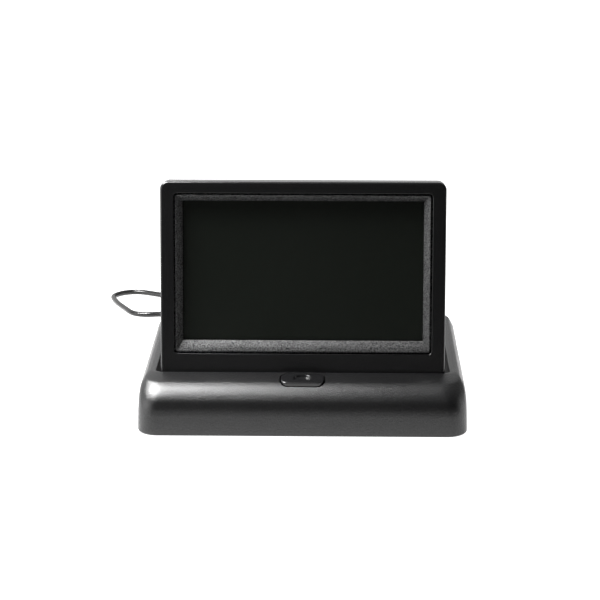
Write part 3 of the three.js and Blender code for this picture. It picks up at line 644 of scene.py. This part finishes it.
def make_front_frame():
    bm = bmesh.new()
    edge, lip, seam = APRON_THICK, 0.25, 0.15

    def inner(out, y):
        return panel_ring(RING_X + out, RING_LOW - out, RING_HIGH + out, RING_R + out, y)

    step = SCREEN_FACE + APRON_THICK
    rings = [shell_ring(seam, SCREEN_SPLIT), shell_ring(0, SCREEN_SPLIT - seam)]
    rings += [shell_ring(0, y) for y in (-1.5, step)]
    rings += [shell_ring(edge * c, SCREEN_FACE + edge * (1 - s), APRON_LOW) for s, c in arc(7)]
    rings.append(shell_ring(edge + 0.5, SCREEN_FACE, APRON_LOW))
    rings.append(inner(lip + 0.4, SCREEN_FACE))
    rings += [inner(lip * (1 - s), SCREEN_FACE + lip * c) for s, c in arc(4)]
    rings += [inner(0, SCREEN_FACE + 1.9), inner(0.1, SCREEN_FACE + 2)]
    rings += [hollow_ring(SCREEN_FACE + 2), hollow_ring(SCREEN_SPLIT)]
    skin(bm, rings, closed=True)
    obj = smooth(to_object("front_frame", bm, leaning=True))
    return finish_piece(obj, frame_plastic, "screen", "frame_plastic", "screen_front_frame")


def make_inner_bezel():
    bm = bmesh.new()
    ox, ol, oh = RING_X - GROOVE, RING_LOW + GROOVE, RING_HIGH - GROOVE
    front, deep, back = SCREEN_FACE + 0.3, SCREEN_FACE + 2.6, SCREEN_FACE + 3.5

    def between(f, y, r):
        """f goes from 0 at the outer edge to 1 at the window."""
        return panel_ring(ox + (WINDOW_X - ox) * f, ol + (WINDOW_LOW - ol) * f,
                          oh + (WINDOW_HIGH - oh) * f, r, y)

    def outside(out, y):
        return panel_ring(ox + out, ol - out, oh + out, 1.1 + out * 0.3, y)

    # A narrow flat rim, then a slope that starts a little way in and grows steeper towards the window
    start, fall, bow = 0.16, 0.12, 1.3
    slope = deep - front - fall
    rings = [outside(0, back - 1), outside(0, front + 0.22), outside(-0.05, front + 0.08)]
    rings += [outside(-0.16, front), between(0.11, front, 0.9), between(0.135, front + 0.04, 0.6)]
    rings.append(between(start, front + fall, 0.35))
    rings += [between(start + (1 - start) * t, front + fall + slope * t**bow, 0.35 - 0.25 * t)
              for t in (0.2, 0.4, 0.6, 0.8, 0.97)]
    rings += [between(1, deep + 0.04, 0.1), between(1, back, 0.1), outside(1, back), outside(1, back - 1)]
    skin(bm, rings, closed=True)
    obj = smooth(to_object("inner_bezel", bm, leaning=True), 24)
    return finish_piece(obj, bezel_plastic, "screen", "bezel_plastic", "screen_inner_bezel")


def make_back_cover():
    bm = bmesh.new()
    edge, seam, start = 1.4, 0.15, SCREEN_SPLIT + GAP
    rings = [hollow_ring(SCREEN_REAR - SHELL, 3), hollow_ring(SCREEN_REAR - SHELL), hollow_ring(start)]
    rings += [shell_ring(seam, start), shell_ring(0, start + seam), shell_ring(0, 4)]
    rings += [shell_ring(edge * c, SCREEN_REAR - edge * (1 - s)) for s, c in arc(8)]
    rings += [shell_ring(edge + 1, SCREEN_REAR)]
    skin(bm, rings)
    obj = to_object("back_cover", bm, leaning=True)
    screw_hole = [(0.001, SCREEN_REAR - 1.6), (1.9, SCREEN_REAR - 1.6), (1.9, SCREEN_REAR - 0.2),
                  (2.15, SCREEN_REAR + 0.05), (2.15, SCREEN_REAR + 1), (0.001, SCREEN_REAR + 1)]
    cutters = []
    for x, z in [(-SCREW_X, SCREW_LOW), (SCREW_X, SCREW_LOW), (-SCREW_X, SCREW_HIGH), (SCREW_X, SCREW_HIGH)]:
        hole = bmesh.new()
        turned(hole, screw_hole, 32, lambda a, b, d, x=x, z=z: (x + a, d, z + b))
        cutters.append(to_object("cut_screw", hole, leaning=True))
    carve(obj, cutters)
    return finish_piece(smooth(obj), frame_plastic, "screen", "frame_plastic", "screen_back_cover")


def make_hinge():
    """The barrel that the screen turns on, and the web that joins it to the back cover."""
    end = SCREEN_HALF_W - 0.3
    barrel = bmesh.new()
    cross_rod(barrel, -end, end, 0, 0, 3.9, 64, 0.3)
    knuckle = to_object("hinge_barrel", barrel, leaning=True)
    cutters = []
    for name, x0, x1, r in [("cut_spring", -end - 1, -44.5, 2.9), ("cut_tip", -45, -40, PIN_HOLE_R),
                            ("cut_bore", 49, end + 1, SLEEVE_HOLE_R)]:
        hole = bmesh.new()
        cross_rod(hole, x0, x1, 0, 0, r)
        cutters.append(to_object(name, hole, leaning=True))
    notch = bmesh.new()
    block(notch, (-4.6, 1.3, -5), (4.6, 3.6, -2.6))
    cutters.append(to_object("cut_notch", notch, leaning=True))
    carve(knuckle, cutters)
    web = bmesh.new()
    outline = [(2.6, 1.5), (2.6, SCREEN_LOW + 0.6), (SCREEN_REAR - 1.4, SCREEN_LOW + 0.6),
               (SCREEN_REAR - 1.4, SCREEN_LOW), (5.6, 2.2), (4.6, 0.4), (3.3, -2), (1, -3)]
    skin(web, [[(x, y, z) for y, z in outline] for x in (-end, end)])
    strap = to_object("cover_web", web, leaning=True)
    bridge = bmesh.new()
    for piece in (knuckle, strap):
        bridge.from_mesh(piece.data)
        bpy.data.objects.remove(piece)
    mesh = bpy.data.meshes.new("cover_hinge")
    bridge.to_mesh(mesh)
    bridge.free()
    hinge = bpy.data.objects.new("cover_hinge", mesh)
    bpy.context.scene.collection.objects.link(hinge)
    return finish_piece(smooth(hinge, 35), frame_plastic, "screen", "frame_plastic")


make_front_frame()
make_inner_bezel()
make_back_cover()
make_hinge()


# ---- Studio ----
# How bright the room is towards the camera and away from it, and what that is multiplied by at each side
FRONT_LEVEL, BACK_LEVEL, LEFT_GAIN, RIGHT_GAIN = 0.045, 0.7, 2.2, 0.4
WHITE_LEVEL = 1.3  # the room as the camera sees it
FLOOR_FRONT, FLOOR_BACK, FLOOR_SIDE = -0.15, 1.0, 0.8
FLOOR_GREY, FLOOR_GLOW = 0.25, 1.15  # how much light the table gives back, and how much it gives of its own


def make_floor():
    bm = bmesh.new()
    corners = [(-FLOOR_SIDE, FLOOR_FRONT), (FLOOR_SIDE, FLOOR_FRONT), (FLOOR_SIDE, FLOOR_BACK),
               (-FLOOR_SIDE, FLOOR_BACK)]
    bm.faces.new([bm.verts.new((x, y, 0)) for x, y in corners])
    mesh = bpy.data.meshes.new("floor")
    bm.to_mesh(mesh)
    bm.free()
    floor = bpy.data.objects.new("floor", mesh)
    bpy.context.scene.collection.objects.link(floor)
    mat = bpy.data.materials.new("floor")
    mat.use_nodes = True
    bsdf = mat.node_tree.nodes["Principled BSDF"]
    bsdf.inputs["Base Color"].default_value = (FLOOR_GREY, FLOOR_GREY, FLOOR_GREY, 1)
    bsdf.inputs["Roughness"].default_value = 0.9
    bsdf.inputs["Specular IOR Level"].default_value = 0
    bsdf.inputs["Emission Color"].default_value = (1, 1, 1, 1)
    bsdf.inputs["Emission Strength"].default_value = FLOOR_GLOW
    floor.data.materials.append(mat)


def make_world():
    """White to the camera; to the object dim and soft, and darkest behind the camera, so that black gloss
    reads as black."""
    world = bpy.data.worlds.new("studio")
    bpy.context.scene.world = world
    world.use_nodes = True
    tree = world.node_tree
    tree.nodes.clear()
    link = tree.links.new
    coords = tree.nodes.new("ShaderNodeTexCoord")
    split = tree.nodes.new("ShaderNodeSeparateXYZ")
    link(coords.outputs["Generated"], split.inputs["Vector"])

    def ramp(source, low, high, start, end):
        node = tree.nodes.new("ShaderNodeMapRange")
        node.interpolation_type = "SMOOTHSTEP"
        for key, value in [("From Min", low), ("From Max", high), ("To Min", start), ("To Max", end)]:
            node.inputs[key].default_value = value
        link(source, node.inputs["Value"])
        return node.outputs["Result"]

    def times(a, b):
        node = tree.nodes.new("ShaderNodeMath")
        node.operation = "MULTIPLY"
        link(a, node.inputs[0])
        link(b, node.inputs[1])
        return node.outputs["Value"]

    depth = ramp(split.outputs["Y"], -0.5, 0.6, FRONT_LEVEL, BACK_LEVEL)
    across = ramp(split.outputs["X"], -1, 1, LEFT_GAIN, RIGHT_GAIN)
    lit = tree.nodes.new("ShaderNodeBackground")
    link(times(depth, across), lit.inputs["Strength"])
    seen = tree.nodes.new("ShaderNodeBackground")
    seen.inputs["Color"].default_value = (1, 1, 1, 1)
    seen.inputs["Strength"].default_value = WHITE_LEVEL
    path = tree.nodes.new("ShaderNodeLightPath")
    mix = tree.nodes.new("ShaderNodeMixShader")
    link(path.outputs["Is Camera Ray"], mix.inputs["Fac"])
    link(lit.outputs["Background"], mix.inputs[1])
    link(seen.outputs["Background"], mix.inputs[2])
    out = tree.nodes.new("ShaderNodeOutputWorld")
    link(mix.outputs["Shader"], out.inputs["Surface"])


def softbox(name, place, target, size, power):
    light = bpy.data.lights.new(name, "AREA")
    light.shape = "RECTANGLE"
    light.size, light.size_y = size
    light.energy = power
    obj = bpy.data.objects.new(name, light)
    bpy.context.scene.collection.objects.link(obj)
    obj.location = place
    obj.rotation_euler = (Vector(target) - Vector(place)).to_track_quat("-Z", "Y").to_euler()
    obj.visible_camera = False


make_floor()
make_world()
softbox("key_light", (-0.12, -0.04, 0.36), (-0.05, -0.045, 0.02), (0.1, 0.08), 1.7)
softbox("front_light", (-0.2, -0.08, 0.35), (-0.02, -0.04, 0.03), (0.14, 0.07), 2.0)
softbox("corner_light", (-0.27, -0.02, 0.36), (-0.04, -0.04, 0.02), (0.14, 0.16), 3.4)
softbox("left_light", (-0.55, -0.2, 0.15), (0, 0, 0.03), (0.4, 0.25), 1.3)
softbox("right_light", (0.6, 0.05, 0.14), (0, 0, 0.03), (0.3, 0.25), 0.4)
